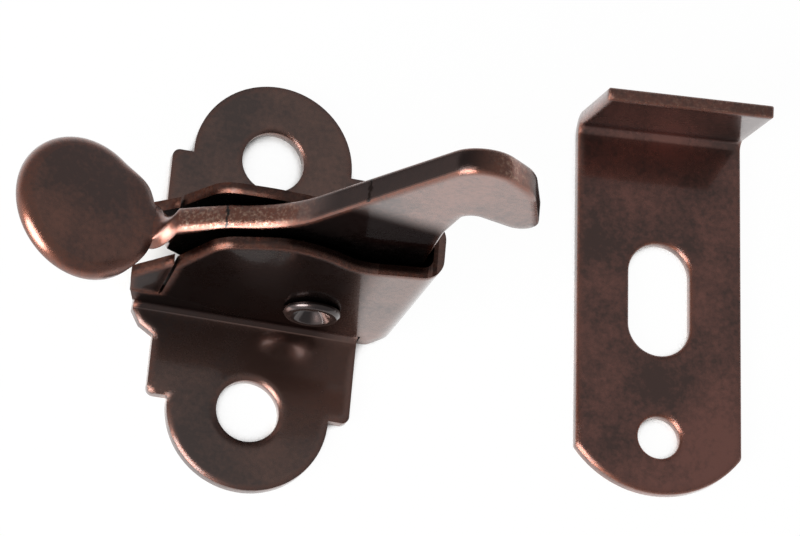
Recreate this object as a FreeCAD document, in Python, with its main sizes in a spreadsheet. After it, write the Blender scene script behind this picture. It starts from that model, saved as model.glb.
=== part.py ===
import FreeCAD
import Part
import math
import os
import re
import Sketcher
from FreeCAD import Placement, Rotation, Vector

# Elbow catch for a cupboard door, with the strike that its hook holds.
# Millimetres. +Z leaves the mounting face, which is Z = 0, +X points to the hook's side and the pivot
# lies along Y. The origin is midway between the two screws of the bracket.

SIZES = {
    # Bracket: the folded channel
    "sheet": (1.0, "thickness of the bracket's sheet"),
    "channel_width": (7.2, "over both walls at their folds"),
    "wall_lean": (3.1, "degrees by which the walls lean inwards"),
    "mouth_spread": (0.9, "how far each wall's top stands out again at the open end"),
    "waist_place": (1.0, "where the walls start to spread to the open end"),
    "channel_end": (12.5, "outer face of the end wall at the mounting face"),
    "end_lean": (0.8, "how far the end wall leans out at its top"),
    "corner_radius": (0.8, "inside of the bends between the walls and the end wall"),
    "fold_radius": (0.6, "inside of the fold between a wall and its foot"),
    "end_height": (17.2, "top of the end wall"),
    "end_lift": (1.4, "lower edge of the end wall"),
    "heel_reach": (10.4, "where the lower edge starts to rise to the end wall"),
    "heel_rise": (1.0, "length over which it rises"),
    "heel_radius": (0.8, "rounding of that edge"),
    "dip_place": (6.2, "lowest place of the wall's top edge"),
    "dip_height": (15.95, "corner under the dip"),
    "dip_radius": (4.0, "rounding of the dip"),
    "hump_place": (0.5, "highest place of the wall's top edge"),
    "hump_height": (19.0, "corner over the hump"),
    "hump_radius": (10.5, "rounding of the hump"),
    "shoulder_place": (7.1, "where the top edge turns down"),
    "shoulder_height": (17.2, "height of that turn"),
    "shoulder_radius": (3.2, "rounding of that turn"),
    # Bracket: the lanced leaf
    "slit_place": (9.6, "slit beside the leaf"),
    "slit_top": (11.4, "upper end of the slit"),
    "slit_bottom": (4.1, "lower end of the slit, where the leaf bends"),
    "slit_width": (0.25, "width of the slit"),
    "leaf_top": (11.4, "highest corner of the leaf"),
    "leaf_reach": (12.95, "furthest corner of the leaf"),
    "leaf_corner": (7.2, "height of that corner"),
    "leaf_round": (1.0, "rounding of that corner"),
    "leaf_foot": (12.4, "edge of the leaf at its bend"),
    "leaf_slant": (0.27, "how far the wall's edge runs in below the leaf, as a share of the drop"),
    "leaf_press": (0.2, "how far the leaf's top is pressed inwards"),
    # Bracket: the feet
    "foot_half": (9.4, "half length of a foot"),
    "foot_relief": (0.2, "gap between the foot and the heel"),
    "foot_reach": (11.9, "where the foot steps in to its ear"),
    "foot_round": (0.7, "rounding of the foot's corners"),
    "flare_reach": (11.5, "end of the fold on the leaf's side"),
    "flare_step": (1.3, "width of the step beside the fold"),
    "flare_length": (2.1, "length of that step"),
    "ear_radius": (7.48, "round ear about each screw"),
    "screw_spacing": (24.34, "between the two screws"),
    "screw_hole": (2.92, "radius of the screw holes"),
    # Lever
    "lever_play": (1.45, "lever from each wall's inner face, at the folds"),
    "pivot_place": (4.0, "pivot from the screws' line"),
    "pivot_height": (6.0, "pivot above the mounting face"),
    "hub_radius": (4.4, "round end of the lever about the pivot"),
    "hub_share": (0.8, "rounding of that end's corners, as a share of its radius"),
    "stop_gap": (0.1, "lever from the end wall, at rest"),
    "back_bottom": (10.2, "lower end of the straight back edge"),
    "back_top": (24.5, "upper end of the straight back edge"),
    "back_lean": (0.45, "how far the back edge leans in at its upper end"),
    "throat_depth": (0.6, "hook's throat beyond the back edge"),
    "throat_height": (29.9, "height of the throat's corner"),
    "throat_radius": (1.1, "rounding of the throat"),
    "nose_reach": (7.4, "nose's corner beyond the throat"),
    "nose_drop": (2.9, "nose's corner below the throat"),
    "nose_radius": (1.7, "rounding of the nose"),
    "brow_back": (3.2, "lead's corner behind the nose"),
    "brow_rise": (9.6, "lead's corner above the nose"),
    "brow_radius": (6.0, "rounding of the lead"),
    "crown_back": (5.7, "crown's corner behind the lead's"),
    "crown_rise": (5.15, "crown's corner above the lead's"),
    "crown_radius": (3.3, "rounding of the crown"),
    "crook_place": (1.6, "corner of the elbow"),
    "crook_height": (19.0, "height of that corner"),
    "crook_radius": (11.5, "rounding of the elbow"),
    "nick_place": (6.4, "end of the thumb arm's straight edge"),
    "nick_height": (17.0, "height of that end"),
    "nick_radius": (1.5, "rounding there"),
    "neck_place": (10.3, "where the neck starts to twist"),
    "neck_top": (14.1, "top of the arm there"),
    "neck_depth": (5.0, "depth of the arm there"),
    "neck_length": (2.0, "length of the twist"),
    "neck_play": (0.75, "twisted neck from each wall's inner face, at the folds"),
    "neck_twist": (84.0, "degrees of twist"),
    "flare_start": (7.2, "width of the neck where it meets the paddle"),
    "flare_width": (10.4, "width of the neck inside the paddle"),
    "flare_depth": (2.9, "how far the neck runs on into the paddle"),
    "flare_sheet": (1.7, "thickness of the neck's end in the paddle"),
    # Thumb paddle, on the end of the lever
    "paddle_place": (18.6, "centre of the paddle"),
    "paddle_height": (13.5, "height of its centre"),
    "paddle_radius": (6.7, "radius of the paddle"),
    "paddle_sheet": (1.9, "thickness of the paddle"),
    "paddle_rim": (0.8, "rounding of its rim"),
    "paddle_edge": (0.3, "bevel of its lower edge"),
    "paddle_rise": (20.0, "degrees by which it rises to its tip"),
    # Pivot rivet
    "shank_radius": (1.5, "shank of the rivet"),
    "shank_fit": (0.03, "rivet in the walls, radial"),
    "pivot_fit": (0.06, "lever on the rivet, radial"),
    "head_radius": (2.6, "rivet heads"),
    "head_height": (0.65, "rolled head above the wall"),
    "head_lip": (0.75, "width of the rolled lip"),
    "head_bevel": (0.3, "bevel round the rolled head"),
    "head_hollow": (1.0, "depth of the hollow in the rolled head"),
    "hollow_wall": (0.55, "shank left round the bottom of the hollow"),
    "tail_height": (0.8, "domed head above the other wall"),
    # Torsion spring
    "wire": (0.4, "diameter of the spring wire"),
    "coil_radius": (2.1, "coil, to the middle of the wire"),
    "coil_pitch": (0.43, "advance of the coil in one turn"),
    "coil_turns": (1.0, "full turns of the coil"),
    "spring_gap": (0.08, "spring from the pieces that it bears on"),
    "spring_hook": (6.0, "where the spring bears on the lever"),
    # Strike
    "strike_width": (16.0, "width of the strip"),
    "strike_sheet": (1.2, "thickness of the strip"),
    "strike_shoulder": (14.9, "slot's centre to the rounded end's corners"),
    "strike_round": (9.9, "radius of the rounded end"),
    "strike_bend": (16.7, "slot's centre to the inner face of the flange"),
    "strike_bend_radius": (0.8, "inside of the bend"),
    "flange_height": (11.4, "height of the flange"),
    "flange_lean": (7.0, "degrees by which it leans over the strip"),
    "slot_width": (6.0, "width of the adjusting slot"),
    "slot_travel": (5.1, "between the centres of the slot's ends"),
    "strike_hole": (2.03, "radius of the round hole"),
    "strike_hole_place": (13.5, "slot's centre to the round hole"),
    "strike_x": (37.8, "slot's centre from the bracket, along X"),
    "strike_y": (5.1, "slot's centre from the bracket, along Y"),
    "strike_turn": (3.8, "degrees by which the strike lies turned"),
}

# Sizes that follow from others
DERIVED = {
    "lever_sheet": ("channel_width - 2 * sheet - 2 * lever_play", "thickness of the lever"),
    "neck_width": ("channel_width - 2 * sheet - 2 * neck_play", "width of the neck after the twist"),
}

# How far pieces of one body run into each other, so that they become one solid
JOIN = 0.001

doc = FreeCAD.newDocument("elbow_catch")
sizes = doc.addObject("Spreadsheet::Sheet", "Sizes")
NAMED = {**SIZES, **{alias: (f"={text}", note) for alias, (text, note) in DERIVED.items()}}
for row, (alias, (value, note)) in enumerate(NAMED.items(), start=1):
    sizes.set(f"A{row}", alias)
    sizes.set(f"B{row}", str(value))
    sizes.set(f"C{row}", note)
    sizes.setAlias(f"B{row}", alias)
doc.recompute()


def tied(text):
    """An expression over the sheet, from plain words that name its cells."""
    return re.sub(r"[a-z_]+", lambda word: f"Sizes.{word[0]}" if word[0] in NAMED else word[0], text)


def number(text):
    """The value of such an expression now."""
    return float(sizes.evalExpression(tied(text)))


def bind(target, path, text):
    """Ties one property of an object to the sheet."""
    target.setExpression(path, tied(text))


# Sketches

def new_sketch(body, name, plane, x="0", y="0", away="0", turn="0", tilt="0"):
    """A sketch on one of the body's planes, shifted in it, moved off it, turned in it and tilted from it."""
    sketch = body.newObject("Sketcher::SketchObject", name)
    support = next(item for item in body.Origin.OriginFeatures if item.Role == plane)
    sketch.AttachmentSupport = [(support, "")]
    sketch.MapMode = "FlatFace"
    spin = Rotation(Vector(0, 0, 1), number(turn))
    lean = Rotation(Vector(1, 0, 0), number(tilt))
    sketch.AttachmentOffset = Placement(Vector(number(x), number(y), number(away)), spin * lean)
    for axis, text in (("x", x), ("y", y), ("z", away)):
        if text != "0":
            bind(sketch, f"AttachmentOffset.Base.{axis}", text)
    if turn != "0" and tilt == "0":
        bind(sketch, "AttachmentOffset.Rotation.Angle", turn)
    return sketch


def pin_point(sketch, geometry, place, x, y):
    """Holds one point of a sketch at a place given by two expressions."""
    origin = (-1, 1)
    upright_axis = -2
    level_axis = -1
    for kind, text, axis in (("DistanceX", x, upright_axis), ("DistanceY", y, level_axis)):
        if text == "0":
            sketch.addConstraint(Sketcher.Constraint("PointOnObject", geometry, place, axis))
        else:
            index = sketch.addConstraint(Sketcher.Constraint(kind, *origin, geometry, place, number(text)))
            bind(sketch, f"Constraints[{index}]", text)


def corner_arc(before, corner, after, radius):
    """The arc that rounds a corner: its two tangent points and its centre."""
    inward = (before - corner).normalize()
    outward = (after - corner).normalize()
    half = inward.getAngle(outward) / 2
    start = corner + inward * (radius / math.tan(half))
    end = corner + outward * (radius / math.tan(half))
    centre = corner + (inward + outward).normalize() * (radius / math.sin(half))
    return start, end, centre


def draw_outline(sketch, corners):
    """A closed outline of straight runs. Each corner is x, y and its rounding's radius, as expressions."""
    count = len(corners)
    points = [Vector(number(x), number(y), 0) for x, y, radius in corners]
    radii = [number(radius) for x, y, radius in corners]
    starts = list(points)
    ends = list(points)
    centres = [None] * count
    for i in range(count):
        if radii[i] > 0:
            around = (points[i - 1], points[i], points[(i + 1) % count])
            starts[i], ends[i], centres[i] = corner_arc(*around, radii[i])
    runs = [sketch.addGeometry(Part.LineSegment(ends[i], starts[(i + 1) % count])) for i in range(count)]
    for i, (x, y, radius) in enumerate(corners):
        before = runs[i - 1]
        after = runs[i]
        if radii[i] == 0:
            sketch.addConstraint(Sketcher.Constraint("Coincident", before, 2, after, 1))
            pin_point(sketch, after, 1, x, y)
            continue
        turns_left = (points[i] - starts[i]).cross(ends[i] - points[i]).z > 0
        first, last = (starts[i], ends[i]) if turns_left else (ends[i], starts[i])
        angles = [math.atan2(point.y - centres[i].y, point.x - centres[i].x) for point in (first, last)]
        circle = Part.Circle(centres[i], Vector(0, 0, 1), radii[i])
        arc = sketch.addGeometry(Part.ArcOfCircle(circle, angles[0], angles[1]))
        mark = sketch.addGeometry(Part.Point(points[i]), True)
        entry, leave = (1, 2) if turns_left else (2, 1)
        sketch.addConstraint(Sketcher.Constraint("Tangent", before, 2, arc, entry))
        sketch.addConstraint(Sketcher.Constraint("Tangent", arc, leave, after, 1))
        sketch.addConstraint(Sketcher.Constraint("PointOnObject", mark, 1, before))
        sketch.addConstraint(Sketcher.Constraint("PointOnObject", mark, 1, after))
        index = sketch.addConstraint(Sketcher.Constraint("Radius", arc, radii[i]))
        bind(sketch, f"Constraints[{index}]", radius)
        pin_point(sketch, mark, 1, x, y)


def draw_circle(sketch, x, y, radius):
    """A circle at a place, all three given as expressions."""
    centre = Vector(number(x), number(y), 0)
    circle = sketch.addGeometry(Part.Circle(centre, Vector(0, 0, 1), number(radius)))
    index = sketch.addConstraint(Sketcher.Constraint("Radius", circle, number(radius)))
    bind(sketch, f"Constraints[{index}]", radius)
    pin_point(sketch, circle, 3, x, y)


def draw_slot(sketch, width, travel):
    """An upright slot about the sketch's origin: two round ends and two straight sides."""
    radius = number(width) / 2
    reach = number(travel) / 2
    normal = Vector(0, 0, 1)
    upper = sketch.addGeometry(Part.ArcOfCircle(Part.Circle(Vector(0, reach, 0), normal, radius), 0, math.pi))
    below = Part.Circle(Vector(0, -reach, 0), normal, radius)
    lower = sketch.addGeometry(Part.ArcOfCircle(below, math.pi, 2 * math.pi))
    left = sketch.addGeometry(Part.LineSegment(Vector(-radius, reach, 0), Vector(-radius, -reach, 0)))
    right = sketch.addGeometry(Part.LineSegment(Vector(radius, -reach, 0), Vector(radius, reach, 0)))
    for first, first_end, second, second_end in ((upper, 2, left, 1), (left, 2, lower, 1),
                                                 (lower, 2, right, 1), (right, 2, upper, 1)):
        sketch.addConstraint(Sketcher.Constraint("Tangent", first, first_end, second, second_end))
    pin_point(sketch, upper, 3, "0", f"{travel} / 2")
    pin_point(sketch, lower, 3, "0", f"-{travel} / 2")
    index = sketch.addConstraint(Sketcher.Constraint("Radius", upper, radius))
    bind(sketch, f"Constraints[{index}]", f"{width} / 2")


# Features

def new_body(label):
    """An empty body with the sub-part's name."""
    body = doc.addObject("PartDesign::Body", label)
    body.Label = label
    return body


def pad(body, sketch, length, symmetric=False, reversed_side=False):
    """Raises a sketch to a solid."""
    feature = body.newObject("PartDesign::Pad", f"{sketch.Name}_pad")
    feature.Profile = sketch
    feature.SideType = "Symmetric" if symmetric else "One side"
    feature.Reversed = reversed_side
    bind(feature, "Length", length)
    doc.recompute()
    return feature


def cut_through(body, sketch):
    """Cuts a sketch right through the body, both ways, and makes sure that it cut something."""
    before = body.Shape.Volume
    feature = body.newObject("PartDesign::Pocket", f"{sketch.Name}_cut")
    feature.Profile = sketch
    feature.Type = "ThroughAll"
    feature.SideType = "Symmetric"
    doc.recompute()
    assert body.Shape.Volume < before, f"{sketch.Name} cut nothing"
    return feature


def revolve(body, sketch):
    """Turns a sketch round its upright axis."""
    feature = body.newObject("PartDesign::Revolution", f"{sketch.Name}_turned")
    feature.Profile = sketch
    feature.ReferenceAxis = (sketch, ["V_Axis"])
    feature.Angle = 360
    doc.recompute()
    return feature


def mirror(body, features, plane):
    """Repeats features on the other side of one of the body's planes."""
    feature = body.newObject("PartDesign::Mirrored", f"{features[0].Name}_mirrored")
    feature.Originals = features
    feature.MirrorPlane = (next(item for item in body.Origin.OriginFeatures if item.Role == plane), [""])
    body.Tip = feature
    doc.recompute()
    return feature


def loft(body, name, sections, cutting=False, straight=False):
    """Runs a solid through sketches, with straight or flowing sides, added to the body or cut from it."""
    kind = "SubtractiveLoft" if cutting else "AdditiveLoft"
    feature = body.newObject(f"PartDesign::{kind}", name)
    feature.Ruled = straight
    feature.Profile = sections[0]
    feature.Sections = sections[1:]
    doc.recompute()
    return feature


# Bracket: one folded sheet

def wall_half(height, place="waist_place"):
    """Half of the channel's width at a height and at a place towards the open end, as an expression."""
    above_fold = f"({height} - fold_radius - sheet)"
    along = f"({place} - waist_place) / (leaf_reach + sheet - waist_place)"
    spread = f"mouth_spread * {along} * {above_fold} / (hump_height - fold_radius - sheet)"
    return f"(channel_width / 2 - tan(wall_lean) * {above_fold} + {spread})"


def end_face(height):
    """The end wall's outer face at a height, as an expression."""
    return f"(channel_end + end_lean * ({height}) / end_height)"


def make_bracket():
    """The channel of two walls and an end wall, its leaves, and the feet with their screw ears."""
    body = new_body("bracket")
    wall_foot = "fold_radius + sheet"
    blocks = (("channel_outside", "0"), ("channel_inside", "sheet"))
    for name, inset in blocks:
        plans = []
        for level, height in (("low", "0"), ("high", "hump_height")):
            half = f"({wall_half(height)} - {inset})"
            mouth_half = f"({wall_half(height, 'leaf_reach + sheet')} - {inset})"
            end = f"({end_face(height)} - {inset})"
            start = "-leaf_reach - sheet"
            turn = f"corner_radius + sheet - {inset}"
            plan = new_sketch(body, f"{name}_{level}", "XY_Plane", away=height)
            draw_outline(plan, [
                (start, f"-{mouth_half}", "0"),
                ("-waist_place", f"-{half}", "0"),
                (end, f"-{half}", turn),
                (end, half, turn),
                ("-waist_place", half, "0"),
                (start, mouth_half, "0"),
            ])
            plans.append(plan)
        loft(body, name, plans, cutting=inset != "0", straight=True)

    # The walls' edges, with all that lies outside them cut away.
    side = new_sketch(body, "channel_side", "XZ_Plane")
    draw_outline(side, [
        ("-leaf_reach - 3 * sheet", "-sheet", "0"),
        ("channel_end + end_lean + 3 * sheet", "-sheet", "0"),
        ("channel_end + end_lean + 3 * sheet", "hump_height + sheet", "0"),
        ("-leaf_reach - 3 * sheet", "hump_height + sheet", "0"),
    ])
    draw_outline(side, [
        ("-leaf_foot + (slit_bottom - fold_radius - sheet) * leaf_slant", wall_foot, "0"),
        ("foot_half + foot_relief", wall_foot, "0"),
        ("foot_half + foot_relief", "0", "0"),
        ("heel_reach", "0", "heel_radius / 2"),
        ("heel_reach + heel_rise", "end_lift", "heel_radius / 2"),
        ("channel_end + end_lean + sheet", "end_lift", "0"),
        ("channel_end + end_lean + sheet", "end_height", "0"),
        ("channel_end + end_lean - sheet", "end_height", "dip_radius"),
        ("dip_place", "dip_height", "dip_radius"),
        ("hump_place", "hump_height", "hump_radius"),
        ("-shoulder_place", "shoulder_height", "shoulder_radius"),
        ("-slit_place", "slit_top", "0"),
        ("-slit_place", "slit_bottom", "0"),
        ("-leaf_foot", "slit_bottom", "0"),
    ])
    cut_through(body, side)

    leaf_height = "leaf_top - slit_bottom"
    leaf_bottom = wall_half("slit_bottom", "slit_place")
    leaf_lean = f"{leaf_bottom} - {wall_half('leaf_top', 'slit_place')} + leaf_press"
    leaf = new_sketch(body, "leaf", "XZ_Plane", y="slit_bottom", away=leaf_bottom,
                      tilt=f"-atan(({leaf_lean}) / ({leaf_height}))")
    draw_outline(leaf, [
        ("-leaf_foot", "-leaf_press", "0"),
        ("-slit_place - slit_width", "-leaf_press", "0"),
        ("-slit_place - slit_width", leaf_height, "0"),
        ("-leaf_reach", "leaf_corner - slit_bottom", "leaf_round"),
        ("-leaf_foot", "0", "0"),
    ])
    leaf_pad = pad(body, leaf, "sheet", reversed_side=True)

    outer = "channel_width / 2 + fold_radius"
    fold = new_sketch(body, "fold", "YZ_Plane", away="-flare_reach")
    draw_outline(fold, [
        ("channel_width / 2 - sheet", wall_foot, "0"),
        ("channel_width / 2 - sheet", "0", f"fold_radius + sheet - {JOIN}"),
        (f"{outer} + {JOIN}", "0", "0"),
        (f"{outer} + {JOIN}", "sheet", "0"),
        ("channel_width / 2", "sheet", "fold_radius"),
        ("channel_width / 2", f"{wall_foot} + {JOIN}", "0"),
        ("channel_width / 2 - sheet", f"{wall_foot} + {JOIN}", "0"),
    ])
    fold_pad = pad(body, fold, "flare_reach + foot_half")

    foot = new_sketch(body, "foot", "XY_Plane")
    draw_outline(foot, [
        ("foot_half", outer, "0"),
        ("foot_half", "foot_reach", "foot_round"),
        ("-foot_half", "foot_reach", "foot_round"),
        ("-foot_half", f"{outer} + flare_length", "0"),
        ("-foot_half - flare_step", f"{outer} + flare_step", "0"),
        ("-flare_reach", outer, "0"),
    ])
    foot_pad = pad(body, foot, "sheet")
    ear = new_sketch(body, "ear", "XY_Plane")
    draw_circle(ear, "0", "screw_spacing / 2", "ear_radius")
    ear_pad = pad(body, ear, "sheet")
    mirror(body, [leaf_pad, fold_pad, foot_pad, ear_pad], "XZ_Plane")

    for name, place in (("upper_screw", "screw_spacing / 2"), ("lower_screw", "-screw_spacing / 2")):
        hole = new_sketch(body, name, "XY_Plane")
        draw_circle(hole, "0", place, "screw_hole")
        cut_through(body, hole)
    eye = new_sketch(body, "rivet_eye", "XZ_Plane")
    draw_circle(eye, "pivot_place", "pivot_height", "shank_radius + shank_fit")
    cut_through(body, eye)
    return body


# Lever: one stamping, twisted at its neck

def make_lever():
    """The bell crank with its hook, the twisted neck and the round thumb paddle."""
    body = new_body("lever")
    back = f"({end_face('back_bottom')} - sheet - stop_gap)"
    throat = f"{back} - back_lean + throat_depth"
    nose = f"{throat} + nose_reach"
    nose_height = "throat_height - nose_drop"
    plate = new_sketch(body, "lever_plate", "XZ_Plane")
    draw_outline(plate, [
        ("-neck_place", "neck_top - neck_depth", "0"),
        ("pivot_place - hub_radius", "pivot_height - hub_radius", "hub_radius * hub_share"),
        ("pivot_place + hub_radius * hub_share", "pivot_height - hub_radius", "hub_radius * hub_share"),
        (back, "back_bottom", "hub_radius * hub_share"),
        (f"{back} - back_lean", "back_top", "brow_radius"),
        (throat, "throat_height", "throat_radius"),
        (nose, nose_height, "nose_radius"),
        (f"{nose} - brow_back", f"{nose_height} + brow_rise", "brow_radius"),
        (f"{nose} - brow_back - crown_back", f"{nose_height} + brow_rise + crown_rise", "crown_radius"),
        ("-crook_place", "crook_height", "crook_radius"),
        ("-nick_place", "nick_height", "nick_radius"),
        ("-neck_place", "neck_top", "0"),
    ])
    pad(body, plate, "lever_sheet", symmetric=True)
    eye = new_sketch(body, "lever_eye", "XZ_Plane")
    draw_circle(eye, "pivot_place", "pivot_height", "shank_radius + pivot_fit")
    cut_through(body, eye)

    # The neck turns about its own middle, from the lever's upright plate to the paddle's plane.
    paddle_plane = "(paddle_height - tan(paddle_rise) * (paddle_place - {x}))"
    steps = 3
    sections = []
    for i in range(steps + 1):
        part = f"({i} / {steps})"
        x = f"(neck_place + neck_length * {part})"
        middle = f"((neck_top - neck_depth / 2) * (1 - {part}) + {paddle_plane.format(x=x)} * {part})"
        width = f"(neck_depth + (neck_width - neck_depth) * sqrt({part}))"
        depth = f"(lever_sheet + (paddle_sheet - lever_sheet) * {part})"
        section = new_sketch(body, f"neck_{i}", "YZ_Plane", y=middle, away=f"-{x}",
                             turn=f"neck_twist * {part}")
        draw_outline(section, [
            (f"-{depth} / 2", f"-{width} / 2", "0"),
            (f"{depth} / 2", f"-{width} / 2", "0"),
            (f"{depth} / 2", f"{width} / 2", "0"),
            (f"-{depth} / 2", f"{width} / 2", "0"),
        ])
        sections.append(section)
    loft(body, "neck_twisted", sections)
    flare = [sections[-1]]
    flares = (("neck_meet", "flare_depth / 3", "flare_start", "paddle_sheet"),
              ("neck_flare", "flare_depth", "flare_width", "flare_sheet"))
    for name, run, width, depth in flares:
        x = f"(neck_place + neck_length + {run})"
        section = new_sketch(body, name, "YZ_Plane", y=paddle_plane.format(x=x), away=f"-{x}",
                             turn="neck_twist")
        draw_outline(section, [
            (f"-{depth} / 2", f"-{width} / 2", "0"),
            (f"{depth} / 2", f"-{width} / 2", "0"),
            (f"{depth} / 2", f"{width} / 2", "0"),
            (f"-{depth} / 2", f"{width} / 2", "0"),
        ])
        flare.append(section)
    loft(body, "neck_flared", flare, straight=True)

    roll = "(90 - neck_twist)"
    half = new_sketch(body, "paddle_half", "XZ_Plane", x="-paddle_place", y="paddle_height",
                      turn="-paddle_rise", tilt=f"-{roll}")
    draw_outline(half, [
        ("0", "-paddle_sheet / 2", "0"),
        ("paddle_radius - paddle_edge", "-paddle_sheet / 2", "0"),
        ("paddle_radius", "-paddle_sheet / 2 + paddle_edge", "0"),
        ("paddle_radius", "paddle_sheet / 2", "paddle_rim"),
        ("0", "paddle_sheet / 2", "0"),
    ])
    revolve(body, half)
    return body


# Pivot rivet: shank, rolled hollow head and domed tail

def make_rivet():
    """The rivet that joins both walls and carries the lever."""
    body = new_body("pivot_rivet")
    wall = wall_half("(pivot_height - head_radius)")
    half = new_sketch(body, "rivet_half", "XY_Plane", x="pivot_place", away="pivot_height")
    draw_outline(half, [
        ("0", f"-{wall} + head_hollow - head_height", "0"),
        ("shank_radius - hollow_wall", f"-{wall} + head_hollow - head_height", "0"),
        ("head_radius - head_lip", f"-{wall} - head_height", "0"),
        ("head_radius - head_bevel", f"-{wall} - head_height", "0"),
        ("head_radius", f"-{wall} - head_height + head_bevel", "0"),
        ("head_radius", f"-{wall}", "0"),
        ("shank_radius", f"-{wall}", "0"),
        ("shank_radius", wall, "0"),
        ("head_radius", wall, "0"),
        ("head_radius", f"{wall} + tail_height / 3", "0"),
        ("head_radius / 2", f"{wall} + tail_height", "head_radius"),
        ("0", f"{wall} + tail_height", "0"),
    ])
    revolve(body, half)
    return body


# Torsion spring: one bent wire

def swept_round(piece, radius):
    """The round bar along one straight line or arc."""
    edge = piece.toShape()
    start = edge.valueAt(edge.FirstParameter)
    end = edge.valueAt(edge.LastParameter)
    disc = Part.Face(Part.Wire(Part.makeCircle(radius, start, edge.tangentAt(edge.FirstParameter))))
    if isinstance(piece, Part.LineSegment):
        return disc.extrude(end - start)
    sweep = math.degrees(edge.LastParameter - edge.FirstParameter)
    return disc.revolve(edge.Curve.Center, edge.Curve.Axis, sweep)


def make_spring():
    """The coil beside the lever, a leg under the end wall and a leg that hooks under the thumb arm."""
    radius = number("coil_radius")
    pitch = number("coil_pitch")
    clear = number("spring_gap + wire / 2")
    pivot = Vector(number("pivot_place"), 0, number("pivot_height"))
    lever_side = number("lever_sheet / 2") + clear

    # The thumb arm's lower edge runs from the hub's corner to the neck, and the hook lies under it.
    edge_run = number("neck_place + pivot_place - hub_radius")
    edge_rise = number("neck_top - neck_depth - pivot_height + hub_radius")
    slope = edge_rise / edge_run
    hook_x = -number("spring_hook")
    edge_z = number("neck_top - neck_depth") - slope * (hook_x + number("neck_place"))
    lever_end = Vector(hook_x, lever_side, edge_z - clear * math.hypot(1, slope))
    wall_edge = Vector(number(f"{end_face('end_lift')} - sheet"), 0, number("end_lift"))

    def tangent_angle(point, reach, side):
        across = Vector(point.x - pivot.x, 0, point.z - pivot.z)
        return math.atan2(across.z, across.x) + side * math.acos(reach / across.Length)

    def on_coil(angle, y, reach=radius):
        return pivot + Vector(reach * math.cos(angle), y, reach * math.sin(angle))

    entry = tangent_angle(lever_end, radius, -1)
    leave = tangent_angle(wall_edge, radius + clear, 1)

    # Each half turn is a half circle, tilted so that the wire climbs half the pitch.
    half_turns = []
    tilted_radius = math.hypot(radius, pitch / 4)
    y = lever_side
    angle = entry
    for _ in range(2 * int(number("coil_turns"))):
        middle = on_coil(angle - math.pi / 2, y + pitch / 4, tilted_radius)
        half_turns.append(Part.Arc(on_coil(angle, y), middle, on_coil(angle - math.pi, y + pitch / 2)))
        angle -= math.pi
        y += pitch / 2
    rest = (angle - leave) % (2 * math.pi)
    last_arc = Part.Arc(on_coil(angle, y), on_coil(angle - rest / 2, y), on_coil(leave, y))

    bend = number("wire")
    along = (on_coil(entry, lever_side) - lever_end).normalize()
    hook_end = Vector(lever_end.x, -number("lever_sheet / 2"), lever_end.z)
    bend_start = lever_end - Vector(0, bend, 0)
    bend_end = lever_end + along * bend
    bend_middle = lever_end + (along - Vector(0, 1, 0)) * (bend * (1 - math.sqrt(0.5)))
    onward = Vector(math.sin(leave), 0, -math.cos(leave))
    wall_start = on_coil(leave, y)
    wall_end = wall_start + onward * ((number("channel_end - sheet / 2") - wall_start.x) / onward.x)
    line = [
        Part.LineSegment(hook_end, bend_start),
        Part.Arc(bend_start, bend_middle, bend_end),
        Part.LineSegment(bend_end, on_coil(entry, lever_side)),
        *half_turns,
        last_arc,
        Part.LineSegment(wall_start, wall_end),
    ]
    runs = [swept_round(piece, number("wire / 2")) for piece in line]
    spring = doc.addObject("Part::Feature", "torsion_spring")
    spring.Label = "torsion_spring"
    spring.Shape = runs[0].fuse(runs[1:]).removeSplitter()
    return spring


# Strike: one bent strip

def make_strike():
    """The strip with its round hole and adjusting slot, and the flange that the hook holds."""
    body = new_body("strike_plate")
    half = "strike_width / 2"
    plate_end = "strike_bend - strike_bend_radius - strike_sheet"
    corner_ease = 1.03
    end_drop = f"strike_width ^ 2 / 4 / sqrt((strike_round * {corner_ease}) ^ 2 - strike_width ^ 2 / 4)"
    strip = new_sketch(body, "strike_strip", "XY_Plane")
    draw_outline(strip, [
        (half, plate_end, "0"),
        (f"-{half}", plate_end, "0"),
        (f"-{half}", "-strike_shoulder", "0"),
        ("0", f"-strike_shoulder - {end_drop}", "strike_round"),
        (half, "-strike_shoulder", "0"),
    ])
    pad(body, strip, "strike_sheet")
    lean = "tan(flange_lean)"
    outer_foot = "strike_bend + strike_sheet / cos(flange_lean)"
    profile = new_sketch(body, "flange", "YZ_Plane")
    draw_outline(profile, [
        (plate_end, "0", "0"),
        (outer_foot, "0", "strike_bend_radius + strike_sheet"),
        (f"{outer_foot} - flange_height * {lean}", "flange_height", "0"),
        (f"{outer_foot} - flange_height * {lean} - strike_sheet * cos(flange_lean)",
         "flange_height - strike_sheet * sin(flange_lean)", "0"),
        (f"strike_bend - strike_sheet * {lean}", "strike_sheet", "strike_bend_radius"),
        (plate_end, "strike_sheet", "0"),
    ])
    pad(body, profile, "strike_width", symmetric=True)
    hole = new_sketch(body, "strike_round_hole", "XY_Plane")
    draw_circle(hole, "0", "-strike_hole_place", "strike_hole")
    cut_through(body, hole)
    slot = new_sketch(body, "strike_slot", "XY_Plane")
    draw_slot(slot, "slot_width", "slot_travel")
    cut_through(body, slot)
    body.Placement = Placement(Vector(number("strike_x"), number("strike_y"), 0),
                               Rotation(Vector(0, 0, 1), number("strike_turn")))
    bind(body, "Placement.Base.x", "strike_x")
    bind(body, "Placement.Base.y", "strike_y")
    bind(body, "Placement.Rotation.Angle", "strike_turn")
    doc.recompute()
    return body


parts = [make_bracket(), make_lever(), make_rivet(), make_spring(), make_strike()]
doc.recompute()

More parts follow.
